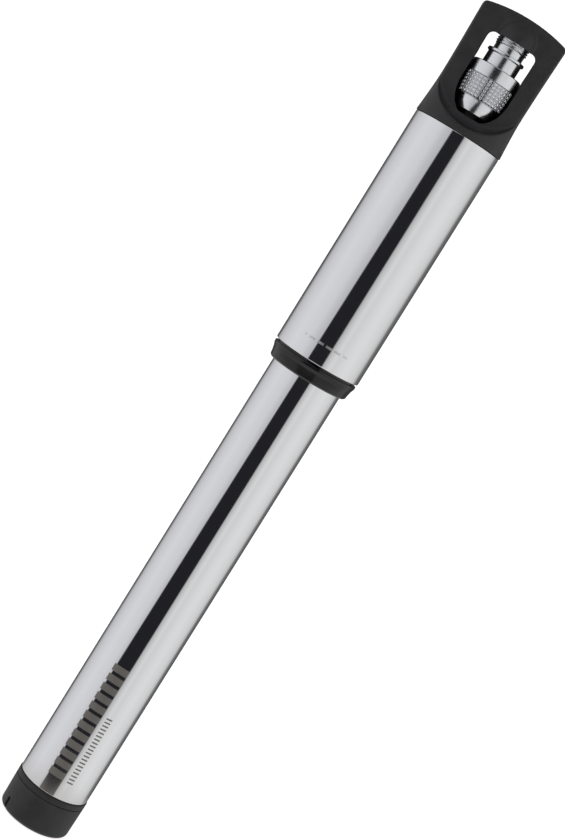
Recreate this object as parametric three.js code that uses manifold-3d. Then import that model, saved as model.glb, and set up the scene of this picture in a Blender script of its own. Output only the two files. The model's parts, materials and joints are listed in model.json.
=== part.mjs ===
// A telescopic bicycle mini pump with its hose and valve connector stored in the handle.
// Millimetres. The pump stands upright on its end cap: +Z runs along the barrel to the head,
// -Y is the front, and the origin is the middle of the end cap's underside.
import * as THREE from "three";
import { mergeVertices } from "three/addons/utils/BufferGeometryUtils.js";
import Module from "manifold-3d";

const wasm = await Module();
wasm.setup();

// ---- driving dimensions ------------------------------------------------------------------

const FIT = 0.15; // radial room between two pieces that touch
const SEAM = 0.1; // axial room between two faces that touch
const ROUND = 32; // sides of a large round piece
const SMALL_ROUND = 20; // sides of a small inner piece

// Barrel
const BARREL_R = 12.3;
const BARREL_BORE_R = 11.1;
const BARREL_BOTTOM = 13.7;
const BARREL_TOP = 243.0;
const CAP_TOP = 11.4;
const CAP_R = 12.55;
const CAP_BOTTOM_R = 12.3;
const PLUG_R = BARREL_BORE_R - FIT;
const PLUG_TOP = 26.0;
const SLOT_WIDTH = 1.3;
const SLOT_DEPTH = 4.4;
const SLOT_ANGLE = THREE.MathUtils.degToRad(-142.8); // seen from above, 52.8 degrees left of front

// Handle
const HANDLE_R = 15.0;
const HANDLE_BORE_R = 14.0;
const HANDLE_BOTTOM = 176.9;
const HANDLE_TOP = 259.85;
const COLLAR_BOTTOM = 170.8;
const COLLAR_FLANGE_TOP = 176.1;
const COLLAR_BORE_R = BARREL_R + 0.2;

// Piston rod, piston and their stops
const ROD_R = 5.0;
const ROD_BORE_R = 3.9;
const PISTON_BOTTOM = 29.5;
const PISTON_TOP = 44.0;
const STROKE = 184.0;
const STOP_TOP = PISTON_TOP + STROKE; // where the piston meets the upper bumper

// Head
const HEAD_BASE = 260.0;
const HEAD_JOINT_R = 15.25;
const HEAD_WAIST_R = 14.52;
const HEAD_CROWN_R = 15.0;
const HEAD_TOP = 301.1;
const HEAD_PLUG_BOTTOM = 246.0;
const FLAT_Y = 3.8; // half thickness of the slab that holds the window
const RECESS_R = 15.8; // radius of a recess's lower edge, about an axis along Y
const FRONT_RECESS_AXIS_Z = 277.9;
const BACK_RECESS_AXIS_Z = 300.0; // the back recess is shorter: the pocket stays closed behind
const WINDOW_HALF = 8.5;
const WINDOW_SILL = 282.9;
const WINDOW_CEILING = 293.1;
const WINDOW_CORNER_R = 2.0;
const WINDOW_DRAFT = THREE.MathUtils.degToRad(4.5); // the window's top rises towards the back
const INSERT_R = 6.3; // the threaded insert in the bridge
const INSERT_BOTTOM = WINDOW_CEILING + 0.5;
const INSERT_TOP = WINDOW_CEILING + 2.6;
const POCKET_R = 9.3; // the round pocket that the connector's sleeve stands in
const POCKET_FLOOR = 266.15;
const POCKET_TOP = 283.6;
const ROD_SEAT = 261.0;

// Connector
const THREAD_PITCH = 0.8;
const PARKING_TURNS = 1.5;
const MOUTH_R = 4.15;
const CORE_TOP = WINDOW_CEILING + THREAD_PITCH * PARKING_TURNS;
const CORE_BOTTOM = 272.2;
const CORE_R = 4.9;
const NECK_R = 5.8;
const THREAD_R = 5.5;
const THREAD_ROOT_R = 5.05;
const SLEEVE_BOTTOM = 267.6;
const SLEEVE_TOP = 283.1;
const SLEEVE_TRAVEL = 2.2;
const SLEEVE_BOTTOM_R = 5.0;
const CLIP_BOTTOM = 272.85; // the clip that keeps the sleeve on the core
const CLIP_TOP = 273.4;
const CLIP_R = 5.4;
const RAMP_SLOPE = 0.3; // rise in radius per millimetre up the inside of the sleeve
const RAMP_BOTTOM = 274.5;
const RAMP_BOTTOM_R = 5.15;
const JAW_BOTTOM = 278.0;
const JAW_TOP = 280.8;
const JAW_WIDTH = 3.0;
const JAW_COUNT = 3;

// Hose
const HOSE_R = 2.5;
const HOSE_BORE_R = 1.3;
const HOSE_BOTTOM = 66.0;
const HOSE_TOP = 271.8;

// ---- finishes ----------------------------------------------------------------------------

const finish = (color, roughness, metalness) => () =>
  new THREE.MeshStandardMaterial({ color, roughness, metalness });

const POLISHED = finish(0xd4d6da, 0.12, 1.0);
const MACHINED = finish(0xb9bcc1, 0.3, 1.0);
const STEEL = finish(0x9a9da1, 0.35, 1.0);
const BRASS = finish(0xb89a55, 0.35, 1.0);
const BLACK_PLASTIC = finish(0x2b2b2d, 0.55, 0.0);
const WHITE_PLASTIC = finish(0xd9d9d4, 0.5, 0.0);
const RUBBER = finish(0x18181a, 0.8, 0.0);

// ---- geometry helpers --------------------------------------------------------------------

// Turns an outline of [radius, height] points about Z. A ring's outline is closed here.
function turned(points, sides = ROUND) {
  const outline = points.map(([radius, height]) => new THREE.Vector2(radius, height));
  const onAxis = points[0][0] === 0 && points.at(-1)[0] === 0;
  if (!onAxis) outline.push(outline[0].clone());
  return new THREE.LatheGeometry(outline, sides).rotateX(Math.PI / 2);
}

// A plain ring or bush between two radii and two heights.
function ring(innerR, outerR, bottom, top, sides = ROUND) {
  return turned(
    [
      [innerR, bottom],
      [outerR, bottom],
      [outerR, top],
      [innerR, top],
    ],
    sides,
  );
}

function oRing(middleR, sectionR, height, sides = ROUND) {
  return new THREE.TorusGeometry(middleR, sectionR, 6, sides).translate(0, 0, height);
}

// An outline drawn in X and Z, given thickness along Y between two values.
function slab(shape, fromY, toY) {
  return new THREE.ExtrudeGeometry(shape, {
    depth: toY - fromY,
    bevelEnabled: false,
    curveSegments: 20,
  })
    .rotateX(Math.PI / 2)
    .translate(0, toY, 0);
}

function solidOf(geometry) {
  const bare = geometry.clone();
  bare.deleteAttribute("normal");
  bare.deleteAttribute("uv");
  const merged = mergeVertices(bare, 1e-4);
  return new wasm.Manifold(
    new wasm.Mesh({
      numProp: 3,
      vertProperties: new Float32Array(merged.attributes.position.array),
      triVerts: new Uint32Array(merged.index.array),
    }),
  );
}

function geometryOf(solid) {
  const mesh = solid.getMesh();
  const geometry = new THREE.BufferGeometry();
  geometry.setAttribute("position", new THREE.BufferAttribute(mesh.vertProperties, 3));
  geometry.setIndex(new THREE.BufferAttribute(mesh.triVerts, 1));
  return geometry;
}

// One geometry with others joined to it and cut from it.
function shaped(geometry, { joined = [], cut = [] }) {
  let solid = solidOf(geometry);
  for (const other of joined) solid = solid.add(solidOf(other));
  for (const other of cut) solid = solid.subtract(solidOf(other));
  return geometryOf(solid);
}

function mesh(name, geometry, material) {
  const piece = new THREE.Mesh(geometry, material());
  piece.name = name;
  return piece;
}

// ---- barrel ------------------------------------------------------------------------------

function barrelTube() {
  return ring(BARREL_BORE_R, BARREL_R, BARREL_BOTTOM, BARREL_TOP);
}

// The cap's skirt, its plug inside the barrel with a seal groove, and a spigot for the bumper.
function endCap() {
  const edge = 1.3;
  const grooveBottom = 17.6;
  const grooveTop = 19.8;
  const spigotR = 3.8;
  const body = turned([
    [0, 0],
    [CAP_BOTTOM_R - edge, 0],
    [CAP_BOTTOM_R - 0.35 * edge, 0.4 * edge],
    [CAP_BOTTOM_R, 1.2 * edge],
    [CAP_R, CAP_TOP],
    [PLUG_R, CAP_TOP],
    [PLUG_R, grooveBottom],
    [9.2, grooveBottom],
    [9.2, grooveTop],
    [PLUG_R, grooveTop],
    [PLUG_R, PLUG_TOP],
    [spigotR, PLUG_TOP],
    [spigotR, PLUG_TOP + 2],
    [0, PLUG_TOP + 2],
  ]);
  const slot = new THREE.BoxGeometry(4 * CAP_R, SLOT_WIDTH, 2 * SLOT_DEPTH).rotateZ(SLOT_ANGLE);
  return shaped(body, { cut: [slot] });
}

function endRing() {
  const chamfer = 0.35;
  return turned([
    [PLUG_R + FIT, CAP_TOP + SEAM],
    [CAP_R, CAP_TOP + SEAM],
    [CAP_R, BARREL_BOTTOM - SEAM - chamfer],
    [CAP_R - chamfer, BARREL_BOTTOM - SEAM],
    [PLUG_R + FIT, BARREL_BOTTOM - SEAM],
  ]);
}

function rodGuide() {
  const bottom = STOP_TOP + 2.6;
  const boreR = ROD_R + FIT;
  const pocketR = ROD_R + 2.2;
  return turned([
    [boreR, bottom],
    [PLUG_R, bottom],
    [PLUG_R, BARREL_TOP + SEAM],
    [BARREL_R, BARREL_TOP + SEAM],
    [BARREL_R, 244.2],
    [BARREL_R - 0.7, 244.9],
    [boreR, 244.9],
    [boreR, 241.2],
    [pocketR, 241.2],
    [pocketR, 238.4],
    [boreR, 238.4],
  ]);
}

// ---- handle ------------------------------------------------------------------------------

// A flared ring below the handle tube, with a sleeve inside the tube and a wiper groove.
function handleCollar() {
  const insideR = HANDLE_BORE_R - FIT;
  return turned([
    [COLLAR_BORE_R, COLLAR_BOTTOM],
    [13.4, COLLAR_BOTTOM],
    [13.9, COLLAR_BOTTOM + 0.4],
    [14.1, COLLAR_BOTTOM + 1.8],
    [14.45, COLLAR_BOTTOM + 3.3],
    [14.85, COLLAR_BOTTOM + 4.5],
    [14.85, COLLAR_FLANGE_TOP],
    [insideR, COLLAR_FLANGE_TOP],
    [insideR, 190],
    [COLLAR_BORE_R, 190],
    [COLLAR_BORE_R, 175.4],
    [COLLAR_BORE_R + 0.9, 175.4],
    [COLLAR_BORE_R + 0.9, 173.2],
    [COLLAR_BORE_R, 173.2],
  ]);
}

function headBlank() {
  const plugR = HANDLE_BORE_R - FIT;
  const grooveR = 12.45;
  const crownCorner = 0.9;
  return turned([
    [0, HEAD_PLUG_BOTTOM + 5],
    [9.6, HEAD_PLUG_BOTTOM + 5],
    [9.6, HEAD_PLUG_BOTTOM],
    [plugR, HEAD_PLUG_BOTTOM],
    [plugR, 254],
    [grooveR, 254],
    [grooveR, 255.9],
    [plugR, 255.9],
    [plugR, HEAD_BASE],
    [HEAD_JOINT_R, HEAD_BASE],
    [14.98, 264],
    [14.66, 269],
    [HEAD_WAIST_R, 274],
    [14.6, 282],
    [14.8, 291],
    [HEAD_CROWN_R, 298.4],
    [HEAD_CROWN_R - 0.3 * crownCorner, 298.4 + 0.7 * crownCorner],
    [HEAD_CROWN_R - crownCorner, 298.4 + crownCorner],
    [10.5, HEAD_TOP - 0.9],
    [5.5, HEAD_TOP - 0.2],
    [0, HEAD_TOP],
  ]);
}

// The window through the slab, above the pocket, with round top corners.
function windowShape() {
  const shape = new THREE.Shape();
  const cornerX = WINDOW_HALF - WINDOW_CORNER_R;
  const cornerZ = WINDOW_CEILING - WINDOW_CORNER_R;
  shape.moveTo(-WINDOW_HALF, WINDOW_SILL);
  shape.lineTo(WINDOW_HALF, WINDOW_SILL);
  shape.absarc(cornerX, cornerZ, WINDOW_CORNER_R, 0, Math.PI / 2);
  shape.absarc(-cornerX, cornerZ, WINDOW_CORNER_R, Math.PI / 2, Math.PI);
  shape.closePath();
  return shape;
}

// The pocket's bowl and wall. The front recess opens it across its whole width.
function sleevePocket() {
  return turned([
    [0, POCKET_FLOOR],
    [5.2, POCKET_FLOOR],
    [5.75, 266.45],
    [6.6, 267.3],
    [7.4, 268.3],
    [8.4, 270.3],
    [8.95, 272.2],
    [POCKET_R, 274.5],
    [POCKET_R, POCKET_TOP],
    [0, POCKET_TOP],
  ]);
}

// The window's cutter, tipped so that its top stays at WINDOW_CEILING at the slab's back.
function windowCutter() {
  const beyond = 30;
  return slab(windowShape(), -beyond, beyond)
    .translate(0, -FLAT_Y, -WINDOW_CEILING)
    .rotateX(WINDOW_DRAFT)
    .translate(0, FLAT_Y, WINDOW_CEILING);
}

// What a recess takes away, down to a round lower edge.
function recessShape(axisZ) {
  const beyond = 20;
  const shape = new THREE.Shape();
  shape.absarc(0, axisZ, RECESS_R, Math.PI, 2 * Math.PI);
  shape.lineTo(RECESS_R, HEAD_TOP + beyond);
  shape.lineTo(-RECESS_R, HEAD_TOP + beyond);
  shape.closePath();
  return shape;
}

// The dome that gives the parking socket its wall where the slab is too thin.
function socketBoss() {
  const bottom = WINDOW_CEILING - 1; // the window's cutter trims it to the sloping top
  const radius = 7.4;
  const dome = 7.6;
  const rises = [0, 0.2, 0.4, 0.6, 0.8, 0.9];
  const profile = rises.map((rise) => [
    radius * Math.sqrt(1 - rise * rise),
    WINDOW_CEILING + dome * rise,
  ]);
  const top = WINDOW_CEILING + dome * rises.at(-1);
  return turned([[0, bottom], [radius, bottom], ...profile, [0, top]]);
}

function pumpHead() {
  const beyond = 30;
  const recesses = [
    slab(recessShape(FRONT_RECESS_AXIS_Z), -beyond, -FLAT_Y),
    slab(recessShape(BACK_RECESS_AXIS_Z), FLAT_Y, beyond),
  ];
  const slabWithRecess = shaped(headBlank(), { cut: recesses });
  return shaped(slabWithRecess, {
    joined: [socketBoss()],
    cut: [
      windowCutter(),
      sleevePocket(),
      ring(0, THREAD_R + 0.35, WINDOW_CEILING - 2, INSERT_BOTTOM + 1),
      ring(0, INSERT_R + FIT, INSERT_BOTTOM - SEAM, INSERT_TOP + 0.3),
      ring(0, HOSE_R + 0.3, ROD_SEAT - 1, POCKET_FLOOR + 1),
      ring(0, ROD_R + FIT, HEAD_PLUG_BOTTOM, ROD_SEAT),
    ],
  });
}

function pistonRod() {
  const threadR = 4.5;
  const threadBottom = 37.6;
  const rodTop = ROD_SEAT - SEAM;
  return turned([
    [3.3, threadBottom],
    [threadR, threadBottom],
    [threadR, PISTON_TOP + SEAM],
    [ROD_R, PISTON_TOP + SEAM],
    [ROD_R, rodTop],
    [ROD_BORE_R, rodTop],
    [ROD_BORE_R, PISTON_TOP + 1],
    [3.3, PISTON_TOP],
  ]);
}

// A hexagon nut that clamps the rod under the head's web.
function rodNut() {
  const sides = 6;
  const acrossCorners = 17;
  const top = HEAD_PLUG_BOTTOM + 5 - SEAM;
  const nut = new THREE.CylinderGeometry(acrossCorners / 2, acrossCorners / 2, 4, sides);
  nut.rotateX(Math.PI / 2).translate(0, 0, top - 2);
  return shaped(nut, { cut: [ring(0, ROD_R + FIT, top - 10, top + 5)] });
}

// The piston, with a groove for its seal, one for its guide ring, and the air inlet valve's
// chamber under the socket that the rod screws into.
function piston() {
  const bodyR = BARREL_BORE_R - 0.15;
  return turned([
    [1.5, PISTON_BOTTOM],
    [bodyR, PISTON_BOTTOM],
    [bodyR, 32.6],
    [9.2, 32.6],
    [9.2, 35.0],
    [bodyR, 35.0],
    [bodyR, 37.6],
    [10.1, 37.6],
    [10.1, 40.6],
    [bodyR, 40.6],
    [bodyR, PISTON_TOP],
    [4.65, PISTON_TOP],
    [4.65, 37.5],
    [3.65, 37.5],
    [3.65, 31.5],
    [1.5, 31.5],
  ]);
}

// A cup seal with its lips towards the compressed air below.
function pistonSeal() {
  return turned([
    [9.35, 32.75],
    [9.9, 32.75],
    [10.15, 34.0],
    [10.45, 32.75],
    [BARREL_BORE_R - 0.08, 32.75],
    [BARREL_BORE_R - 0.3, 34.85],
    [9.35, 34.85],
  ]);
}

function valvePoppet() {
  return turned(
    [
      [0, 31.65],
      [2.4, 31.65],
      [2.6, 31.9],
      [2.6, 32.65],
      [0.9, 32.65],
      [0.9, 35.0],
      [0, 35.0],
    ],
    SMALL_ROUND,
  );
}

// A disc that holds the valve's spring, with air holes.
function valveRetainer() {
  const holes = 4;
  const disc = ring(0, 3.5, 36.2, 37.35, SMALL_ROUND);
  const cut = Array.from({ length: holes }, (_, i) => {
    const angle = ((i + 0.5) / holes) * 2 * Math.PI;
    return ring(0, 0.75, 35, 39, 12).translate(2.2 * Math.cos(angle), 2.2 * Math.sin(angle), 0);
  });
  return shaped(disc, { cut });
}

class Helix extends THREE.Curve {
  constructor(radius, bottom, top, turns) {
    super();
    Object.assign(this, { radius, bottom, top, turns });
  }
  getPoint(t, target = new THREE.Vector3()) {
    const angle = t * this.turns * 2 * Math.PI;
    const z = this.bottom + (this.top - this.bottom) * t;
    return target.set(this.radius * Math.cos(angle), this.radius * Math.sin(angle), z);
  }
}

function valveSpring() {
  const wireR = 0.25;
  const turns = 3.5;
  const section = new THREE.Shape();
  section.absarc(0, 0, wireR, 0, 2 * Math.PI);
  return new THREE.ExtrudeGeometry(section, {
    steps: turns * 16,
    curveSegments: 3,
    bevelEnabled: false,
    extrudePath: new Helix(1.75, 33.0, 35.85, turns),
  });
}

// ---- hose --------------------------------------------------------------------------------

// The free end's plug: a barb in the hose's bore, and a body with a seal groove.
function hosePlug() {
  return turned(
    [
      [0.7, 56.0],
      [3.4, 56.0],
      [3.7, 56.4],
      [3.7, 60.0],
      [2.7, 60.0],
      [2.7, 61.6],
      [3.7, 61.6],
      [3.7, HOSE_BOTTOM - SEAM],
      [1.15, HOSE_BOTTOM - SEAM],
      [1.15, 76.0],
      [0.7, 76.0],
    ],
    SMALL_ROUND,
  );
}

// The upper nipple: a barb in the hose's bore and a head that turns in the connector's tail.
function hoseNipple() {
  return turned(
    [
      [0.7, 262.0],
      [1.15, 262.0],
      [1.15, HOSE_TOP + SEAM],
      [1.7, HOSE_TOP + SEAM],
      [1.7, 272.9],
      [3.2, 272.9],
      [3.2, 274.0],
      [0.7, 274.0],
    ],
    SMALL_ROUND,
  );
}

// ---- connector ---------------------------------------------------------------------------

// The valve connector's body: mouth with a parking thread, flange, necks and a tail in the sleeve.
function connectorCore() {
  const threadBottom = 290.3;
  const ridges = Math.floor((CORE_TOP - threadBottom) / THREAD_PITCH);
  const thread = [];
  for (let i = 0; i < ridges; i += 1) {
    const z = threadBottom + (i + 0.5) * THREAD_PITCH;
    thread.push([THREAD_R, z], [THREAD_ROOT_R, z + 0.4]);
  }
  const body = turned([
    [3.5, CORE_BOTTOM],
    [CORE_R, CORE_BOTTOM],
    [CORE_R, CLIP_BOTTOM - FIT],
    [4.4, CLIP_BOTTOM - FIT],
    [4.4, CLIP_TOP + FIT],
    [CORE_R, CLIP_TOP + FIT],
    [CORE_R, 281.8],
    [NECK_R, 281.8],
    [NECK_R, 287.3],
    [6.37, 287.45],
    [6.37, 288.15],
    [6.1, 288.4],
    [THREAD_ROOT_R, 288.4],
    [THREAD_ROOT_R, threadBottom],
    ...thread,
    [THREAD_ROOT_R, CORE_TOP],
    [MOUTH_R, CORE_TOP],
    [MOUTH_R, 275.5],
    [1.2, 275.5],
    [1.2, 274.25],
    [3.5, 274.25],
  ]);
  const windows = Array.from({ length: JAW_COUNT }, (_, i) =>
    new THREE.BoxGeometry(JAW_WIDTH + 0.3, 4, JAW_TOP - JAW_BOTTOM + 0.4)
      .translate(0, -5, (JAW_TOP + JAW_BOTTOM) / 2)
      .rotateZ((i / JAW_COUNT) * 2 * Math.PI),
  );
  return shaped(body, { cut: windows });
}

function rampRadius(z) {
  return RAMP_BOTTOM_R + RAMP_SLOPE * (z - RAMP_BOTTOM);
}

// The knurled sleeve: a cone nose round the hose, and a ramp inside that closes the jaws.
function knurledSleeve() {
  const coneTop = 271.8;
  const rampTop = 281.0;
  const pocketR = CLIP_R + 0.2;
  const pocketTop = CLIP_TOP + 0.2;
  const pocketBottom = CLIP_BOTTOM - SLEEVE_TRAVEL - FIT;
  return turned([
    [HOSE_R + 0.3, SLEEVE_BOTTOM],
    [SLEEVE_BOTTOM_R, SLEEVE_BOTTOM],
    [6.0, 269.5],
    [6.75, coneTop],
    [7.5, coneTop],
    [8.05, 279.0],
    [8.3, 282.9],
    [8.05, SLEEVE_TOP],
    [NECK_R + FIT, SLEEVE_TOP],
    [NECK_R + FIT, 281.9],
    [rampRadius(rampTop), 281.9],
    [rampRadius(rampTop), rampTop],
    [RAMP_BOTTOM_R, RAMP_BOTTOM],
    [CORE_R + FIT, RAMP_BOTTOM],
    [CORE_R + FIT, pocketTop],
    [pocketR, pocketTop],
    [pocketR, pocketBottom],
    [CORE_R + FIT, pocketBottom],
    [CORE_R + FIT, 269.6],
    [HOSE_R + 0.3, 269.6],
  ]);
}

// A jaw's outer face runs along the sleeve's ramp, and its corners stay just clear of it.
function gripJaw(index) {
  const innerR = 4.35;
  const clearance = 0.12;
  const halfWidth = JAW_WIDTH / 2;
  const faceAt = (z) => Math.sqrt((rampRadius(z) - clearance) ** 2 - halfWidth ** 2);
  const outline = new THREE.Shape();
  outline.moveTo(innerR, JAW_BOTTOM);
  outline.lineTo(faceAt(JAW_BOTTOM), JAW_BOTTOM);
  outline.lineTo(faceAt(JAW_TOP), JAW_TOP);
  outline.lineTo(innerR, JAW_TOP);
  outline.closePath();
  const firstAngle = -Math.PI / 2;
  return slab(outline, -halfWidth, halfWidth).rotateZ(
    firstAngle + (index / JAW_COUNT) * 2 * Math.PI,
  );
}

// ---- assembly ----------------------------------------------------------------------------

const barrel = new THREE.Group();
barrel.add(
  mesh("barrel_tube", barrelTube(), POLISHED),
  mesh("end_cap", endCap(), BLACK_PLASTIC),
  mesh("end_ring", endRing(), BLACK_PLASTIC),
  mesh("cap_seal", oRing(10.2, 0.8, 18.7), RUBBER),
  mesh("bottom_bumper", ring(3.95, 9.5, PLUG_TOP + SEAM, 29.2), RUBBER),
  mesh("rod_guide", rodGuide(), WHITE_PLASTIC),
  mesh("rod_wiper", ring(ROD_R + 0.08, ROD_R + 2.05, 238.55, 241.05), RUBBER),
  mesh("top_bumper", ring(ROD_R + 0.5, 10.4, STOP_TOP + SEAM, STOP_TOP + 2.5), RUBBER),
);

const handle = new THREE.Group();
handle.add(
  mesh("handle_tube", ring(HANDLE_BORE_R, HANDLE_R, HANDLE_BOTTOM, HANDLE_TOP), POLISHED),
  mesh("handle_collar", handleCollar(), BLACK_PLASTIC),
  mesh("collar_wiper", ring(BARREL_R + 0.1, BARREL_R + 1.0, 173.35, 175.25), RUBBER),
  mesh("pump_head", pumpHead(), BLACK_PLASTIC),
  mesh("head_seal", oRing(13.2, 0.62, 254.95), RUBBER),
  mesh("socket_insert", ring(THREAD_R + FIT, INSERT_R, INSERT_BOTTOM, INSERT_TOP), BRASS),
  mesh("piston_rod", pistonRod(), STEEL),
  mesh("rod_nut", rodNut(), STEEL),
  mesh("hose_stop_bush", ring(HOSE_R + 0.2, ROD_BORE_R - FIT, 256.6, 260.6, SMALL_ROUND), BRASS),
  mesh("piston", piston(), WHITE_PLASTIC),
  mesh("piston_seal", pistonSeal(), RUBBER),
  mesh("piston_guide_ring", ring(10.25, BARREL_BORE_R - 0.08, 37.75, 40.45), WHITE_PLASTIC),
  mesh("valve_retainer", valveRetainer(), BRASS),
  mesh("valve_spring", valveSpring(), STEEL),
  mesh("valve_poppet", valvePoppet(), RUBBER),
);

const hose = new THREE.Group();
hose.add(
  mesh("hose", ring(HOSE_BORE_R, HOSE_R, HOSE_BOTTOM, HOSE_TOP, 16), RUBBER),
  mesh("hose_plug", hosePlug(), BRASS),
  mesh("plug_seal", oRing(3.27, 0.48, 60.8, SMALL_ROUND), RUBBER),
  mesh("hose_ferrule", ring(HOSE_R + 0.12, 3.2, 66.2, 74, SMALL_ROUND), STEEL),
  mesh("hose_nipple", hoseNipple(), BRASS),
);

const connector = new THREE.Group();
connector.add(
  mesh("connector_core", connectorCore(), MACHINED),
  mesh("valve_gasket", ring(1.3, MOUTH_R - FIT, 275.6, 277.4, SMALL_ROUND), RUBBER),
  mesh("swivel_clip", ring(1.85, 3.35, 272.3, 272.75, SMALL_ROUND), STEEL),
  mesh("sleeve_clip", ring(4.55, CLIP_R, CLIP_BOTTOM, CLIP_TOP, SMALL_ROUND), STEEL),
  mesh("knurled_sleeve", knurledSleeve(), MACHINED),
);
for (let i = 0; i < JAW_COUNT; i += 1) {
  connector.add(mesh(`grip_jaw_${i + 1}`, gripJaw(i), STEEL));
}

const group = new THREE.Group();
group.add(barrel, handle, hose, connector);

export default group;
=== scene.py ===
"""Looks of a telescopic bicycle mini pump: polished tubes, black ends and a stored valve connector.

Outlines are in millimetres from the end cap's underside, +Z up the barrel and -Y the front, as in
the frame. Each finished piece is scaled to metres and rides on the body of the solid it stands for.
"""

import json
import math

import bmesh
import bpy
from mathutils import Matrix, Vector


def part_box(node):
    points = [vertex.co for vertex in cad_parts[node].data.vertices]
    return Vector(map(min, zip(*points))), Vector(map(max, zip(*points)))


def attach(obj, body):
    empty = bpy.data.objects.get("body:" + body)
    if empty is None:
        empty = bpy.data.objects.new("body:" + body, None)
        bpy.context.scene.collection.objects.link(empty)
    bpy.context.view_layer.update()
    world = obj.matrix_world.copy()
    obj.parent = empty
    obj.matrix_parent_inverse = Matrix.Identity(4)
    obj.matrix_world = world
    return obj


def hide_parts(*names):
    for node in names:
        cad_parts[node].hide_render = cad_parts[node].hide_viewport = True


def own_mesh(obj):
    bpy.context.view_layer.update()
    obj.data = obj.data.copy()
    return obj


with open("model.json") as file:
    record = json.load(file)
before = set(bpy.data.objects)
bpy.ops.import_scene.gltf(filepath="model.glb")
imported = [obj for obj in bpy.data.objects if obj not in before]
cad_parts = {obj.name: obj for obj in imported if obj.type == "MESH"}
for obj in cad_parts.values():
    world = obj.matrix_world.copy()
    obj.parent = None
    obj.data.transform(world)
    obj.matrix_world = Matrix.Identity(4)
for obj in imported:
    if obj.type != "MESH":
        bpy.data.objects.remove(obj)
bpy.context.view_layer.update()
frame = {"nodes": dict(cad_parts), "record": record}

MM = 0.001
SIDES = 192
SMOOTH_ANGLE = math.radians(35)


# ---- outlines ----------------------------------------------------------------------------


def size_of(node):
    """Bottom, top and outer radius of a round CAD node, in millimetres."""
    low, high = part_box(node)
    return low.z / MM, high.z / MM, high.x / MM


def rounded(*corners):
    """A closed outline through (radius, height, fillet) corners, each fillet turned into an arc."""
    outline = []
    previous, following = corners[-1:] + corners[:-1], corners[1:] + corners[:1]
    for before, corner, after in zip(previous, corners, following):
        point = Vector(corner[:2])
        if len(corner) < 3:
            outline.append(tuple(point))
            continue
        fillet = corner[2]
        back = (Vector(before[:2]) - point).normalized()
        ahead = (Vector(after[:2]) - point).normalized()
        half = back.angle(ahead) / 2
        centre = point + (back + ahead).normalized() * fillet / math.sin(half)
        start = point + back * fillet / math.tan(half) - centre
        turn = math.pi - 2 * half
        if back.x * ahead.y - back.y * ahead.x > 0:
            turn = -turn
        steps = max(2, math.ceil(abs(turn) / math.radians(15)))
        for i in range(steps + 1):
            arm = Vector(start)
            arm.rotate(Matrix.Rotation(turn * i / steps, 2))
            outline.append(tuple(centre + arm))
    return outline


def curve_through(points, steps=6):
    """A smooth run of (radius, height) points through the given ones."""
    run = []
    ends = [points[0], *points, points[-1]]
    for a, b, c, d in zip(ends, ends[1:], ends[2:], ends[3:]):
        for i in range(steps):
            t = i / steps
            run.append(
                tuple(
                    0.5
                    * (
                        2 * q
                        + (r - p) * t
                        + (2 * p - 5 * q + 4 * r - s) * t * t
                        + (3 * q - p - 3 * r + s) * t**3
                    )
                    for p, q, r, s in zip(a, b, c, d)
                )
            )
    return [*run, points[-1]]


def line(start, end, steps):
    """Points from start up to, but without, end."""
    return [
        tuple(a + (b - a) * i / steps for a, b in zip(start, end))
        for i in range(steps)
    ]


# ---- meshes ------------------------------------------------------------------------------


def mesh_from(form):
    bmesh.ops.recalc_face_normals(form, faces=form.faces)
    mesh = bpy.data.meshes.new("piece")
    form.to_mesh(mesh)
    form.free()
    return mesh


def lathe(outline, sides=SIDES, relief=None):
    """Turns an outline about Z. relief(angle, radius, height) is added to the radius."""
    form = bmesh.new()
    rows = []
    for radius, height in outline:
        if radius < 1e-6:
            rows.append([form.verts.new((0, 0, height))] * sides)
            continue
        row = []
        for i in range(sides):
            angle = 2 * math.pi * i / sides
            r = radius + (relief(angle, radius, height) if relief else 0)
            row.append(form.verts.new((r * math.cos(angle), r * math.sin(angle), height)))
        rows.append(row)
    pairs = list(zip(rows, rows[1:]))
    if min(outline[0][0], outline[-1][0]) > 0:
        pairs.append((rows[-1], rows[0]))
    for lower, upper in pairs:
        for i in range(sides):
            j = (i + 1) % sides
            corners = list(dict.fromkeys([lower[i], lower[j], upper[j], upper[i]]))
            if len(corners) > 2:
                form.faces.new(corners)
    return mesh_from(form)


def loft(sections):
    """A closed body through (y, outline) sections, each outline a ring of as many (x, z) points."""
    form = bmesh.new()
    rows = [[form.verts.new((x, y, z)) for x, z in outline] for y, outline in sections]
    form.faces.new(rows[0])
    form.faces.new(rows[-1][::-1])
    for front, back in zip(rows, rows[1:]):
        for i in range(len(front)):
            j = (i + 1) % len(front)
            form.faces.new([front[i], front[j], back[j], back[i]])
    return mesh_from(form)


def prism(outline, start, end):
    """An outline of (x, z) points given thickness along Y."""
    return loft([(start, outline), (end, outline)])


def coil(radius, wire_r, bottom, top, turns):
    """A round wire wound about Z, its middle rising from bottom to top."""
    steps, sides = round(turns * 36), 12
    form = bmesh.new()
    rings = []
    for i in range(steps + 1):
        angle = 2 * math.pi * turns * i / steps
        height = bottom + (top - bottom) * i / steps
        ring = []
        for j in range(sides):
            around = 2 * math.pi * j / sides
            r = radius + wire_r * math.cos(around)
            z = height + wire_r * math.sin(around)
            ring.append(form.verts.new((r * math.cos(angle), r * math.sin(angle), z)))
        rings.append(ring)
    form.faces.new(rings[0])
    form.faces.new(rings[-1][::-1])
    for lower, upper in zip(rings, rings[1:]):
        for j in range(sides):
            k = (j + 1) % sides
            form.faces.new([lower[j], lower[k], upper[k], upper[j]])
    return mesh_from(form)


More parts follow.
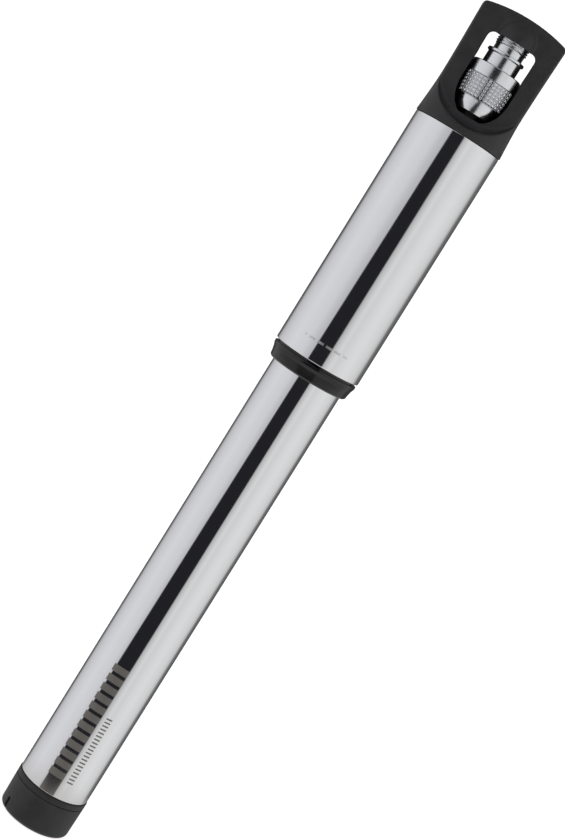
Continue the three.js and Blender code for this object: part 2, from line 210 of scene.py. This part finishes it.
def arc(centre, radii, start, end, steps):
    """Points on an ellipse's arc, angles in degrees."""
    points = []
    for i in range(steps + 1):
        angle = math.radians(start + (end - start) * i / steps)
        points.append(
            (centre[0] + radii[0] * math.cos(angle), centre[1] + radii[1] * math.sin(angle))
        )
    return points


def linked(mesh):
    thing = bpy.data.objects.new("working", mesh)
    bpy.context.scene.collection.objects.link(thing)
    return thing


def applied(thing):
    """The mesh of an object with its modifiers applied. The object is removed."""
    graph = bpy.context.evaluated_depsgraph_get()
    mesh = bpy.data.meshes.new_from_object(thing.evaluated_get(graph))
    bpy.data.objects.remove(thing)
    return mesh


def carved(mesh, cut=(), joined=()):
    """A mesh with others joined to it, then others cut from it."""
    base = linked(mesh)
    others = []
    for operation, meshes in (("UNION", joined), ("DIFFERENCE", cut)):
        for other in meshes:
            tool = linked(other)
            modifier = base.modifiers.new(operation, "BOOLEAN")
            modifier.operation = operation
            modifier.solver = "EXACT"
            modifier.object = tool
            others.append(tool)
    result = applied(base)
    for tool in others:
        bpy.data.objects.remove(tool)
    return result


def remeshed(mesh, voxel):
    """A mesh rebuilt from small voxels."""
    thing = linked(mesh)
    remesh = thing.modifiers.new("voxels", "REMESH")
    remesh.mode = "VOXEL"
    remesh.voxel_size = voxel
    return applied(thing)


def softened(mesh, passes, weight):
    """Rounds a fine mesh's edges as moulding does, as much as weight(point) of 0 to 1 says."""
    thing = linked(mesh)
    group = thing.vertex_groups.new(name="soft")
    for vertex in mesh.vertices:
        group.add([vertex.index], weight(vertex.co), "REPLACE")
    smooth = thing.modifiers.new("round", "SMOOTH")
    smooth.factor = 0.5
    smooth.iterations = passes
    smooth.vertex_group = group.name
    return applied(thing)


def piece(name, mesh, node, material, also=()):
    """Puts a finished mesh in place of a CAD node, on its body and with its material slot."""
    mesh.transform(Matrix.Scale(MM, 4))
    mesh.shade_smooth()
    mesh.set_sharp_from_angle(angle=SMOOTH_ANGLE)
    mesh.materials.clear()
    mesh.materials.append(material)
    thing = bpy.data.objects.new(name, mesh)
    bpy.context.scene.collection.objects.link(thing)
    weighted = thing.modifiers.new("normals", "WEIGHTED_NORMAL")
    weighted.keep_sharp = True
    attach(thing, body_of[node])
    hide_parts(node, *also)
    return thing


record = frame["record"]
slot_of = {part["node"]: part["material_slot"] for part in record["subparts"]}
body_of = {
    node: body for body, nodes in record["behaviour"]["bodies"].items() for node in nodes
}


# ---- materials ---------------------------------------------------------------------------


def node(tree, kind, settings=None, **inputs):
    """Adds a node. inputs are socket names with _ for a space, each a value or a socket to link."""
    added = tree.nodes.new("ShaderNode" + kind)
    for name, value in (settings or {}).items():
        setattr(added, name, value)
    for name, value in inputs.items():
        key = int(name[1:]) if name[0] == "i" and name[1:].isdigit() else name.replace("_", " ")
        socket = added.inputs[key]
        if isinstance(value, bpy.types.NodeSocket):
            tree.links.new(value, socket)
        else:
            socket.default_value = value
    return added


def math_node(tree, operation, a, b=0.0):
    return node(tree, "Math", {"operation": operation}, i0=a, i1=b).outputs[0]


def product(tree, a, b):
    return math_node(tree, "MULTIPLY", a, b)


def spread(tree, value, low, high, to_low, to_high, smooth=False):
    """Maps a value from one range to another, held at the ends."""
    kind = {"interpolation_type": "SMOOTHSTEP" if smooth else "LINEAR"}
    mapped = node(
        tree,
        "MapRange",
        kind,
        Value=value,
        From_Min=low,
        From_Max=high,
        To_Min=to_low,
        To_Max=to_high,
    )
    return mapped.outputs[0]


def place(tree, scale=(1, 1, 1)):
    """The surface's place in millimetres, each axis times its scale."""
    coordinates = tree.nodes.new("ShaderNodeTexCoord").outputs["Object"]
    per_mm = tuple(s / MM for s in scale)
    return node(tree, "Mapping", Vector=coordinates, Scale=per_mm).outputs[0]


def place_xyz(tree):
    """The surface's place in millimetres, as x, y and z."""
    return node(tree, "SeparateXYZ", Vector=place(tree)).outputs


def noise(tree, where, scale=1.0, detail=3.0, roughness=0.5):
    return node(
        tree, "TexNoise", Vector=where, Scale=scale, Detail=detail, Roughness=roughness
    ).outputs["Fac"]


def around_axis(tree, along, around):
    """Coordinates for turning marks: (radius and height) fine, and the angle coarse."""
    x, y, z = place_xyz(tree)
    squares = math_node(tree, "ADD", product(tree, x, x), product(tree, y, y))
    radius = math_node(tree, "SQRT", squares)
    return node(
        tree,
        "CombineXYZ",
        X=product(tree, radius, along),
        Y=product(tree, math_node(tree, "ARCTAN2", y, x), around),
        Z=product(tree, z, along),
    ).outputs[0]


def new_material(name, colour, roughness, metallic=0.0, specular=0.5):
    material = bpy.data.materials.new(name)
    material.use_nodes = True
    shader = material.node_tree.nodes["Principled BSDF"]
    shader.inputs["Base Color"].default_value = (*colour, 1)
    shader.inputs["Roughness"].default_value = roughness
    shader.inputs["Metallic"].default_value = metallic
    shader.inputs["Specular IOR Level"].default_value = specular
    return material, material.node_tree, shader.inputs


def set_bump(tree, inputs, height, depth, strength=1.0):
    """Bumps the surface by a height of 0 to 1, depth in millimetres."""
    bump = node(tree, "Bump", Height=height, Distance=depth * MM, Strength=strength)
    tree.links.new(bump.outputs[0], inputs["Normal"])


def blended(tree, factor, first, second):
    """One colour fading to another as the factor goes from 0 to 1."""
    return node(tree, "Mix", {"data_type": "RGBA"}, i0=factor, i6=first, i7=second).outputs[2]


def two_tones(tree, inputs, factor, first, second):
    tree.links.new(blended(tree, factor, (*first, 1), (*second, 1)), inputs["Base Color"])


def within(tree, value, low, high):
    above = math_node(tree, "GREATER_THAN", value, low)
    return product(tree, above, math_node(tree, "LESS_THAN", value, high))


def bar_row(tree, xs, zs, pitch, fill):
    """A mask of even bars across the front of a tube between two x values, stacked up z."""
    x, y, z = place_xyz(tree)
    across = product(tree, within(tree, x, *xs), math_node(tree, "LESS_THAN", y, 0.0))
    up = math_node(tree, "SUBTRACT", z, zs[0])
    step = math_node(tree, "FRACT", math_node(tree, "DIVIDE", up, pitch))
    along = product(tree, within(tree, z, *zs), math_node(tree, "LESS_THAN", step, fill))
    return product(tree, across, along)


def polished_tube(name, marks):
    """Mirror-polished metal with faint lengthwise hairlines. marks makes masks of etched areas."""
    metal = (0.86, 0.865, 0.875)
    etched = (0.30, 0.285, 0.265)
    material, tree, inputs = new_material(name, metal, 0.05, metallic=1.0)
    hairlines = noise(tree, place(tree, (9, 9, 0.06)), detail=4)
    cloud = noise(tree, place(tree, (0.12, 0.12, 0.05)))
    fine = spread(tree, hairlines, 0.4, 0.75, 0.035, 0.075)
    polish = math_node(tree, "ADD", fine, spread(tree, cloud, 0.35, 0.65, 0.0, 0.02))
    mask, matte, tone = marks(tree)
    tree.links.new(
        node(tree, "Mix", {"data_type": "FLOAT"}, i0=mask, i2=polish, i3=matte).outputs[0],
        inputs["Roughness"],
    )
    two_tones(tree, inputs, mask, metal, tone or etched)
    set_bump(tree, inputs, hairlines, 0.0015, 0.25)
    return material


def barrel_marks(tree):
    """Two plain rows of etched bars, one wide and one fine, low on the front."""
    wide = bar_row(tree, (-3.7, 1.8), (20.0, 62.1), 3.6, 0.68)
    fine = bar_row(tree, (3.3, 5.3), (20.0, 45.4), 1.3, 0.42)
    return math_node(tree, "MAXIMUM", wide, fine), 0.55, None


def handle_marks(tree):
    """One faint row of small dashes low on the front."""
    half_width, bottom, top = 7.6, 182.9, 183.7
    pitch, fill = 3.04, 0.72
    x, y, z = place_xyz(tree)
    row = product(tree, within(tree, x, -half_width, half_width), within(tree, z, bottom, top))
    step = math_node(tree, "FRACT", math_node(tree, "DIVIDE", x, pitch))
    dash = math_node(tree, "LESS_THAN", step, fill)
    front = math_node(tree, "LESS_THAN", y, 0.0)
    mask = product(tree, row, product(tree, dash, front))
    return mask, 0.38, (0.78, 0.78, 0.79)


def turned_metal(name, colour, low, high, cone_top=None):
    """Metal with fine turning marks round its axis, which are outward steps below cone_top."""
    material, tree, inputs = new_material(name, colour, low, metallic=1.0)
    rings = noise(tree, around_axis(tree, 14, 0.6), detail=5, roughness=0.65)
    handling = noise(tree, place(tree, (0.35, 0.35, 0.35)), detail=4)
    varied_tone = product(tree, rings, spread(tree, handling, 0.3, 0.7, 0.85, 1.2))
    tree.links.new(spread(tree, varied_tone, 0.3, 0.7, low, high), inputs["Roughness"])
    darker = tuple(c * 0.86 for c in colour)
    two_tones(tree, inputs, spread(tree, varied_tone, 0.35, 0.75, 0.0, 0.5), colour, darker)
    depth = 0.002
    height = rings
    if cone_top:
        step_slope = 0.5
        z = place_xyz(tree)[2]
        below = math_node(tree, "MAXIMUM", math_node(tree, "SUBTRACT", cone_top, z), 0.0)
        height = math_node(tree, "ADD", rings, product(tree, below, step_slope / depth))
    set_bump(tree, inputs, height, depth)
    return material


def moulded(name, colour, roughness, grain_depth, specular=0.45, painted_light=None):
    """Matte moulded plastic: fine grain, slow changes of gloss and, if a mask maker is given,
    painted light where its mask says.
    """
    material, tree, inputs = new_material(name, colour, roughness, specular=specular)
    grain = noise(tree, place(tree, (7, 7, 7)), detail=2, roughness=0.6)
    cloud = noise(tree, place(tree, (0.3, 0.3, 0.3)), detail=4)
    uneven = math_node(tree, "ADD", product(tree, grain, 0.4), cloud)
    gloss = spread(tree, uneven, 0.5, 1.0, roughness - 0.05, roughness + 0.07)
    tree.links.new(gloss, inputs["Roughness"])
    lighter = tuple(c * 1.25 + 0.002 for c in colour)
    varied_tone = blended(tree, spread(tree, cloud, 0.4, 0.75, 0.0, 1.0), (*colour, 1), (*lighter, 1))
    if painted_light:
        # Painted light: colour 1.9 times lighter where the mask says, painted over the shade that
        # the head's ledge casts.
        painted_lighter = tuple(c * 1.9 for c in colour)
        varied_tone = blended(tree, painted_light(tree), varied_tone, (*painted_lighter, 1))
    # The base colour: random lighter tone, plus the painted light where a mask is given.
    tree.links.new(varied_tone, inputs["Base Color"])
    set_bump(tree, inputs, grain, grain_depth, 0.6)
    return material


def painted_recess_light(tree):
    """Painted light on the head's front flat, lighter towards the recess's floor where the ledge
    shades it.
    """
    x, y, z = place_xyz(tree)
    inside = spread(tree, y, -6.5, -5.0, 0.0, 1.0)
    above_base = spread(tree, z, 261.5, 262.5, 0.0, 1.0)
    low = spread(tree, z, 264.0, 280.0, 1.0, 0.15, smooth=True)
    return product(tree, product(tree, inside, above_base), low)


def rubber(name, colour):
    material, tree, inputs = new_material(name, colour, 0.7, specular=0.3)
    grain = noise(tree, place(tree, (5, 5, 5)), detail=4)
    tree.links.new(spread(tree, grain, 0.3, 0.7, 0.6, 0.82), inputs["Roughness"])
    two_tones(tree, inputs, grain, colour, tuple(c * 1.6 for c in colour))
    set_bump(tree, inputs, grain, 0.02)
    return material


# Up to here the connector's metal has the steps of its cone nose.
STEPS_TOP = 271.8

FINISHES = {
    "polished_tube": polished_tube("polished barrel", barrel_marks),
    "black_composite": moulded("black composite", (0.0215, 0.0213, 0.0225), 0.45, 0.012, 0.3),
    "bush_plastic": moulded("white acetal", (0.66, 0.66, 0.62), 0.45, 0.008),
    "seal_rubber": rubber("seal rubber", (0.012, 0.012, 0.013)),
    "hose_rubber": rubber("hose rubber", (0.012, 0.012, 0.013)),
    "rod_steel": turned_metal("ground steel", (0.62, 0.63, 0.65), 0.16, 0.3),
    "fitting_brass": turned_metal("turned brass", (0.76, 0.58, 0.28), 0.2, 0.36),
    "connector_metal": turned_metal(
        "bright connector metal", (0.84, 0.85, 0.87), 0.15, 0.25, STEPS_TOP
    ),
}
HANDLE_METAL = polished_tube("polished handle", handle_marks)
# The head's plastic gets painted light near the recess's floor, over the ledge's shade.
HEAD_BLACK = moulded("black head", (0.0225, 0.0223, 0.0235), 0.45, 0.012, 0.3, painted_recess_light)
COLLAR_BLACK = moulded("glossy black collar", (0.004, 0.004, 0.0045), 0.17, 0.003, 0.5)


# ---- barrel ------------------------------------------------------------------------------


BARREL_BORE, PLUG_R = 11.1, 10.95
ROD_BORE = 5.15


def plain_tube(node_name, bore_r, edge):
    bottom, top, radius = size_of(node_name)
    corners = (bore_r, bottom), (radius, bottom), (radius, top), (bore_r, top)
    return lathe(rounded(*((*corner, edge) for corner in corners)))


def end_cap():
    """The cap with its rounded lower edge, plug and tool slot."""
    top_of_skirt, top_of_plug, top = 11.4, 26, 28
    groove_r, groove_bottom, groove_top = 9.2, 17.6, 19.8
    post_r = 3.8
    body = lathe(
        rounded(
            (0, 0),
            (12.3, 0, 1.4),
            (12.55, top_of_skirt, 0.25),
            (PLUG_R, top_of_skirt),
            (PLUG_R, groove_bottom, 0.15),
            (groove_r, groove_bottom, 0.2),
            (groove_r, groove_top, 0.2),
            (PLUG_R, groove_top, 0.15),
            (PLUG_R, top_of_plug, 0.5),
            (post_r, top_of_plug, 0.2),
            (post_r, top, 0.3),
            (0, top),
        )
    )
    slot_width, slot_depth, slot_angle = 1.3, 4.4, math.radians(-142.8)
    reach = 20
    slot = prism(
        [(-reach, -1), (reach, -1), (reach, slot_depth), (-reach, slot_depth)],
        -slot_width / 2,
        slot_width / 2,
    )
    slot.transform(Matrix.Rotation(slot_angle, 4, "Z"))
    return carved(body, cut=[slot])


def end_ring():
    bottom, top, radius = size_of("end_ring")
    outer = (radius, bottom, 0.25), (radius, top, 0.4)
    return lathe(rounded((BARREL_BORE, bottom), *outer, (BARREL_BORE, top)))


def rod_guide():
    """The bush in the barrel's top, seen when the handle is drawn out."""
    bottom, top, radius = size_of("rod_guide")
    flange = size_of("barrel_tube")[1] + 0.1
    groove_r, groove_bottom, groove_top = 7.2, 238.4, 241.2
    return lathe(
        rounded(
            (ROD_BORE, bottom),
            (PLUG_R, bottom, 0.3),
            (PLUG_R, flange),
            (radius, flange, 0.15),
            (radius, top, 0.7),
            (6.6, top, 0.3),
            (ROD_BORE, top - 1.1, 0.3),
            (ROD_BORE, groove_top),
            (groove_r, groove_top),
            (groove_r, groove_bottom),
            (ROD_BORE, groove_bottom),
        )
    )


barrel_tube = plain_tube("barrel_tube", BARREL_BORE, 0.3)
piece("barrel_tube_polished", barrel_tube, "barrel_tube", FINISHES["polished_tube"])
piece("end_cap_moulded", end_cap(), "end_cap", FINISHES["black_composite"])
piece("end_ring_moulded", end_ring(), "end_ring", FINISHES["black_composite"])
piece("rod_guide_bush", rod_guide(), "rod_guide", FINISHES["bush_plastic"])


# ---- handle ------------------------------------------------------------------------------


def collar():
    """The flared ring below the handle tube."""
    bottom, top = size_of("handle_collar")[0], 190
    bore_r, inside = 12.5, 13.85
    groove_r, groove_bottom, groove_top = 13.4, 173.2, 175.4
    return lathe(
        rounded(
            (bore_r, bottom, 0.25),
            (13.35, bottom, 0.15),
            (13.88, bottom + 0.42, 0.35),
            (14.1, bottom + 1.9, 2.0),
            (14.4, bottom + 3.3, 2.0),
            (14.8, bottom + 4.35, 0.3),
            (14.9, bottom + 5.3, 0.3),
            (inside, bottom + 5.3),
            (inside, top, 0.5),
            (bore_r, top, 0.3),
            (bore_r, groove_top),
            (groove_r, groove_top),
            (groove_r, groove_bottom),
            (bore_r, groove_bottom),
        )
    )


HEAD_TOP = size_of("pump_head")[1]
WINDOW_CEILING = 293.1
FLAT_Y = 3.8
RECESS_R = 15.8
FRONT_RECESS_AXIS, BACK_RECESS_AXIS = 277.9, 300.0


def head_blank():
    """The head before its recesses and window are cut."""
    dome_r = 56
    crown_corner = (15.0, HEAD_TOP - 1.95)
    waist = [
        (15.25, 260.2),
        (14.98, 264),
        (14.66, 269),
        (14.52, 274),
        (14.6, 282),
        (14.8, 291),
        (14.98, 298),
    ]
    side = curve_through(waist)
    corner = rounded((14.0, 290), (*crown_corner, 0.9), (0, HEAD_TOP))[1:-1]
    dome = [
        (r, HEAD_TOP - dome_r + math.sqrt(dome_r**2 - r**2)) for r in (13, 11, 9, 7, 5, 3, 1.5, 0)
    ]
    plug = [
        (0, 251),
        (9.6, 251),
        (9.6, 246),
        (13.85, 246),
        (13.85, 254),
        (12.45, 254),
        (12.45, 255.9),
        (13.85, 255.9),
        (13.85, 260),
        (15.05, 260),
    ]
    return lathe([*plug, *side, *corner, *dome])


def window():
    """The window's cutter: round top corners, and a top that rises to the slab's back."""
    half, sill, corner, draft = 8.5, 282.9, 2.0, math.tan(math.radians(4.5))
    sections = []
    for y in (-30, 30):
        rise = draft * (y - FLAT_Y)
        ceiling = WINDOW_CEILING + rise
        outline = [
            (-half, sill + rise),
            (half, sill + rise),
            *arc((half - corner, ceiling - corner), (corner, corner), 0, 90, 8),
            *arc((corner - half, ceiling - corner), (corner, corner), 90, 180, 8),
        ]
        sections.append((y, outline))
    return loft(sections)


def recess(axis, side):
    """What a recess takes away: to a round lower edge, scooped where its floor meets the slab."""
    beyond = 30
    outward = curve_through([(0, 3.4), (0.6, 2.3), (1.8, 1.3), (4, 0.5), (7.5, 0), (beyond, 0)], 3)
    sections = []
    for depth, scoop in outward:
        outline = []
        for i in range(97):
            angle = math.pi * (1 + i / 96)
            reach = RECESS_R - scoop * math.sin(angle) ** 2
            outline.append((reach * math.cos(angle), axis + reach * math.sin(angle)))
        outline += [(RECESS_R, HEAD_TOP + beyond), (-RECESS_R, HEAD_TOP + beyond)]
        sections.append((side * (FLAT_Y + depth), outline))
    return loft(sections)


def bore(radius, bottom, top):
    return lathe([(0, bottom), (radius, bottom), (radius, top), (0, top)])


def pump_head():
    """The head: a slab with a window between two recesses, a pocket below and a boss above."""
    boss_r, boss_rise = 7.4, 7.6
    pocket_r, pocket_floor, pocket_top = 9.3, 266.15, 283.6
    thread_r, insert_r, hose_way_r = 5.85, 6.45, 2.8
    boss = [(0, WINDOW_CEILING - 1), (boss_r, WINDOW_CEILING - 1)]
    for i in range(13):
        share = 0.9 * i / 12
        boss.append((boss_r * math.sqrt(1 - share**2), WINDOW_CEILING + boss_rise * share))
    boss.append((0, boss[-1][1]))
    bowl_points = [
        (5.75, 266.45),
        (6.6, 267.3),
        (7.4, 268.3),
        (8.4, 270.3),
        (8.95, 272.2),
        (pocket_r, 274.5),
    ]
    bowl = curve_through(bowl_points, 4)
    pocket = [
        (0, pocket_floor),
        (5.2, pocket_floor),
        *bowl,
        (pocket_r, pocket_top),
        (0, pocket_top),
    ]
    slab = carved(
        head_blank(),
        cut=[recess(FRONT_RECESS_AXIS, -1), recess(BACK_RECESS_AXIS, 1)],
    )
    whole = carved(
        slab,
        joined=[lathe(boss)],
        cut=[
            window(),
            lathe(pocket),
            bore(thread_r, WINDOW_CEILING - 2, WINDOW_CEILING + 1.5),
            bore(insert_r, WINDOW_CEILING + 0.4, WINDOW_CEILING + 2.9),
            bore(hose_way_r, 260, pocket_floor + 1),
            bore(ROD_BORE, 245, 261),
        ],
    )

    def everywhere_but_rim(point):
        return 0.15 if point.z < 261.5 else 1.0

    def on_lip(point):
        from_axis = math.hypot(point.x, point.z - FRONT_RECESS_AXIS)
        near = min(1.0, max(0.0, (from_axis - 12.0) / 2.0))
        return near if 261.8 < point.z < 290 and point.y < 0 else 0.0

    def on_boss(point):
        up = min(1.0, max(0.0, (point.z - WINDOW_CEILING - 0.8) / 1.5))
        out = min(1.0, max(0.0, (abs(point.y) - 2.8) / 0.8))
        return up * out if abs(point.x) < 10.5 and point.z < HEAD_TOP - 1.2 else 0.0

    head = softened(remeshed(whole, 0.2), 5, everywhere_but_rim)
    return softened(softened(head, 55, on_lip), 70, on_boss)


def piston_rod():
    """The hollow rod, with its thread end at the bottom."""
    bottom, top, rod_r = size_of("piston_rod")
    return lathe(
        rounded(
            (3.3, bottom),
            (4.5, bottom, 0.2),
            (4.5, 44.1),
            (rod_r, 44.1, 0.3),
            (rod_r, top, 0.3),
            (3.9, top, 0.3),
            (3.9, 45),
            (3.3, 44),
        ),
        96,
    )


handle_tube = plain_tube("handle_tube", 14.0, 0.3)
piece("handle_tube_polished", handle_tube, "handle_tube", HANDLE_METAL)
piece("handle_collar_moulded", collar(), "handle_collar", COLLAR_BLACK)
piece("pump_head_moulded", pump_head(), "pump_head", HEAD_BLACK)
piece("piston_rod_ground", piston_rod(), "piston_rod", FINISHES["rod_steel"])


# ---- check valve -------------------------------------------------------------------------


def valve_spring():
    """The check valve's spring: wound wire where the frame has a plain sleeve."""
    bottom, top, outer_r = size_of("valve_spring")
    wire_r = 0.25
    return coil(outer_r - wire_r, wire_r, bottom + wire_r, top - wire_r, 3.5)


spring = piece("valve_spring_coil", valve_spring(), "valve_spring", FINISHES["rod_steel"])
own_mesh(spring)


# ---- hose and connector ------------------------------------------------------------------

THREAD_PITCH = 0.8
NOSE_TOP, NOSE_R = 271.75, 6.7
CORE_TOP = size_of("connector_core")[1]


def connector_core():
    """The connector's body: tail, two necks with a flange between, and the threaded mouth."""
    bottom = size_of("connector_core")[0]
    thread_bottom, root, crest = 290.0, 5.05, 5.5

    def thread(angle, radius, height):
        if abs(radius - root) > 0.01 or height < thread_bottom:
            return 0
        phase = (height / THREAD_PITCH - angle / (2 * math.pi)) % 1
        fade = min(1, (height - thread_bottom) / THREAD_PITCH, (CORE_TOP - height) / 0.3)
        return (crest - root) * max(0, 1.15 - 2.3 * abs(phase - 0.5)) * max(0, fade)

    mouth = 4.15
    lower = rounded(
        (mouth, 283),
        (3.5, bottom),
        (4.9, bottom, 0.2),
        (4.9, 272.7),
        (4.4, 272.7),
        (4.4, 273.55),
        (4.9, 273.55),
        (4.9, 281.8),
        (5.8, 281.8, 0.1),
        (5.8, 287.05, 0.2),
        (6.4, 287.4, 0.15),
        (6.4, 288.15, 0.25),
        (root + 0.1, 288.45, 0.15),
    )[1:]
    body = lathe(
        [
            *lower,
            *line((root, 288.6), (root, CORE_TOP - 0.05), 90),
            (root, CORE_TOP - 0.05),
            (root - 0.15, CORE_TOP),
            (mouth + 0.2, CORE_TOP),
            (mouth, CORE_TOP - 0.2),
            (mouth, 275.5),
            (1.2, 275.5),
            (1.2, 274.25),
            (3.5, 274.25),
        ],
        144,
        thread,
    )
    jaw_windows = []
    for i in range(3):
        opening = prism([(-1.65, 277.8), (1.65, 277.8), (1.65, 281.0), (-1.65, 281.0)], -7, -3)
        opening.transform(Matrix.Rotation(2 * math.pi * i / 3, 4, "Z"))
        jaw_windows.append(opening)
    return carved(body, cut=jaw_windows)


def knurled_sleeve():
    """The sliding sleeve: cone nose, a band of small square pyramids, and a smooth band."""
    bottom, top, _ = size_of("knurled_sleeve")
    knurl_bottom, knurl_top = 271.9, 279.0
    knurl_rows, knurl_columns = 6, 36
    valley, peak = 0.42, 0.1

    def pyramids(angle, radius, height):
        if radius < 7.5 or radius > 8.2 or not knurl_bottom - 0.01 <= height <= knurl_top + 0.01:
            return 0
        up = (height - knurl_bottom) / (knurl_top - knurl_bottom) * knurl_rows % 1
        round_ = angle / (2 * math.pi) * knurl_columns % 1
        rise = min(1 - abs(2 * up - 1), 1 - abs(2 * round_ - 1))
        return -valley + (valley + peak) * min(1, 2.0 * rise)

    nose = [(5.1, bottom + 0.16), (5.62, 268.8), (6.05, 269.8), (6.42, 270.8), (NOSE_R, NOSE_TOP)]
    outline = [
        (2.8, bottom),
        (4.95, bottom),
        (5.05, bottom + 0.06),
        *curve_through(nose, 4),
        (6.8, 271.85),
        (7.3, 271.85),
        *line((7.6, knurl_bottom), (8.15, knurl_top), knurl_rows * 10),
        (8.15, knurl_top),
        *rounded(
            (7.6, 279.05),
            (8.05, 279.1, 0.1),
            (8.32, 282.85, 0.15),
            (8.05, top, 0.1),
            (5.95, top, 0.1),
            (5.95, 281.9),
        ),
        (7.1, 281.9),
        (7.1, 281.0),
        (5.15, 274.5),
        (5.05, 274.5),
        (5.05, 273.6),
        (5.6, 273.6),
        (5.6, 270.5),
        (5.05, 270.5),
        (5.05, 269.6),
        (2.8, 269.6),
    ]
    return lathe(outline, knurl_columns * 10, pyramids)


piece("connector_core_turned", connector_core(), "connector_core", FINISHES["connector_metal"])
piece("knurled_sleeve_turned", knurled_sleeve(), "knurled_sleeve", FINISHES["connector_metal"])
piece("hose_tube", plain_tube("hose", 1.3, 0.1), "hose", FINISHES["hose_rubber"])


# ---- CAD nodes that stay -----------------------------------------------------------------

for name, solid in frame["nodes"].items():
    if solid.hide_render:
        continue
    solid.data.materials.clear()
    solid.data.materials.append(FINISHES[slot_of[name]])
    solid.data.shade_smooth()
    solid.data.set_sharp_from_angle(angle=SMOOTH_ANGLE)


# ---- stage, light and camera -------------------------------------------------------------


def floor():
    form = bmesh.new()
    half = 3.0
    corners = (-half, -half), (half, -half), (half, half), (-half, half)
    form.faces.new([form.verts.new((x, y, 0)) for x, y in corners])
    plane = bpy.data.objects.new("floor", mesh_from(form))
    bpy.context.scene.collection.objects.link(plane)
    material, _, inputs = new_material("pale floor", (0.9, 0.9, 0.9), 0.9, specular=0.1)
    inputs["Emission Color"].default_value = (1, 1, 1, 1)
    inputs["Emission Strength"].default_value = 0.75
    plane.data.materials.append(material)
    plane.visible_glossy = False


# How bright the studio is round the pump, as (degrees from the front towards +X, radiance): pale
# walls left and right, and darkness behind the pump.
WALLS = [
    (-180, 0.08),
    (-156, 0.08),
    (-148, 0.18),
    (-144, 0.31),
    (-134, 0.53),
    (-123, 0.60),
    (-110, 0.67),
    (-80, 0.75),
    (-45, 0.69),
    (-28, 0.56),
    (-18, 0.52),
    (18, 0.44),
    (23, 0.58),
    (35, 0.75),
    (45, 0.70),
    (63, 0.77),
    (80, 0.80),
    (110, 0.71),
    (123, 0.61),
    (131, 0.40),
    (136, 0.18),
    (152, 0.12),
    (162, 0.08),
    (180, 0.08),
]


def studio():
    """A light tent: bright walls, a narrow dark opening at the front, white to the camera."""
    gap_left, gap_right, gap_middle = -18.3, (15.6, 19.0), -7.0
    gap_lean, gap_bow = 0.72, 0.0005
    world = bpy.data.worlds.new("studio")
    bpy.context.scene.world = world
    world.use_nodes = True
    tree = world.node_tree
    tree.nodes.clear()
    direction = tree.nodes.new("ShaderNodeTexCoord").outputs["Generated"]
    x, y, z = node(tree, "SeparateXYZ", Vector=direction).outputs
    facing = math_node(tree, "ARCTAN2", x, product(tree, y, -1.0))
    azimuth = product(tree, facing, 180 / math.pi)
    elevation = product(tree, math_node(tree, "ARCSINE", z), 180 / math.pi)
    ramp = node(tree, "ValToRGB", Fac=spread(tree, azimuth, -180, 180, 0.0, 1.0))
    stops = ramp.color_ramp.elements
    while len(stops) < len(WALLS):
        stops.new(0.5)
    for i, (degrees, level) in enumerate(WALLS):
        cool = 1.0 + 0.03 * (degrees < 0)
        stops[i].position = degrees / 360 + 0.5
        stops[i].color = (level, level, level * cool, 1)
    lean = product(tree, elevation, -gap_lean)
    from_left = math_node(tree, "ADD", math_node(tree, "SUBTRACT", azimuth, gap_left), lean)
    left = spread(tree, from_left, -1.8, 1.8, 0.0, 1.0, smooth=True)
    right = spread(tree, azimuth, *gap_right, 1.0, 0.0, smooth=True)
    off_middle = math_node(tree, "SUBTRACT", azimuth, gap_middle)
    bow = product(tree, product(tree, off_middle, off_middle), -gap_bow)
    under_walls = spread(tree, elevation, -20.2, -19.6, 0.85, 0.0, smooth=True)
    bowed = math_node(tree, "ADD", elevation, bow)
    under_gap = spread(tree, bowed, -20.3, -19.9, 1.0, 0.0, smooth=True)
    walls = blended(tree, under_walls, ramp.outputs[0], (0.55, 0.53, 0.51, 1))
    dark = blended(tree, under_gap, (0.017, 0.017, 0.02, 1), (0.17, 0.16, 0.15, 1))
    opening = product(tree, left, right)
    round_about = blended(tree, opening, walls, dark)
    overhead = spread(tree, elevation, 35, 60, 0.0, 1.0, smooth=True)
    underfoot = spread(tree, elevation, -45, -28, 1.0, 0.0, smooth=True)
    lidded = blended(tree, overhead, round_about, (0.35, 0.35, 0.36, 1))
    around = blended(tree, underfoot, lidded, (0.82, 0.82, 0.83, 1))
    path = tree.nodes.new("ShaderNodeLightPath")
    seen = blended(tree, path.outputs["Is Camera Ray"], around, (1.1, 1.1, 1.1, 1))
    background = node(tree, "Background", Color=seen, Strength=1.0)
    output = tree.nodes.new("ShaderNodeOutputWorld")
    tree.links.new(background.outputs[0], output.inputs["Surface"])


def photo_camera():
    """The view from in front and a little above, rolled so that the pump leans to the right."""
    data = bpy.data.cameras.new("camera")
    data.lens = 80.1
    data.sensor_width = 36
    data.clip_start, data.clip_end = 0.01, 50
    camera = bpy.data.objects.new("camera", data)
    bpy.context.scene.collection.objects.link(camera)
    place_mm = Vector((0.62, -590.55, 226.7))
    pitch, roll = math.radians(6.93), math.radians(31.89)
    forward = Vector((0, math.cos(pitch), -math.sin(pitch)))
    level_up = Vector((0, math.sin(pitch), math.cos(pitch)))
    level_right = Vector((1, 0, 0))
    up = level_up * math.cos(roll) - level_right * math.sin(roll)
    right = level_up * math.sin(roll) + level_right * math.cos(roll)
    turn = Matrix((right, up, -forward)).transposed().to_4x4()
    camera.matrix_world = Matrix.Translation(place_mm * MM) @ turn
    bpy.context.scene.camera = camera


floor()
studio()
photo_camera()
bpy.context.scene.view_settings.view_transform = "Standard"
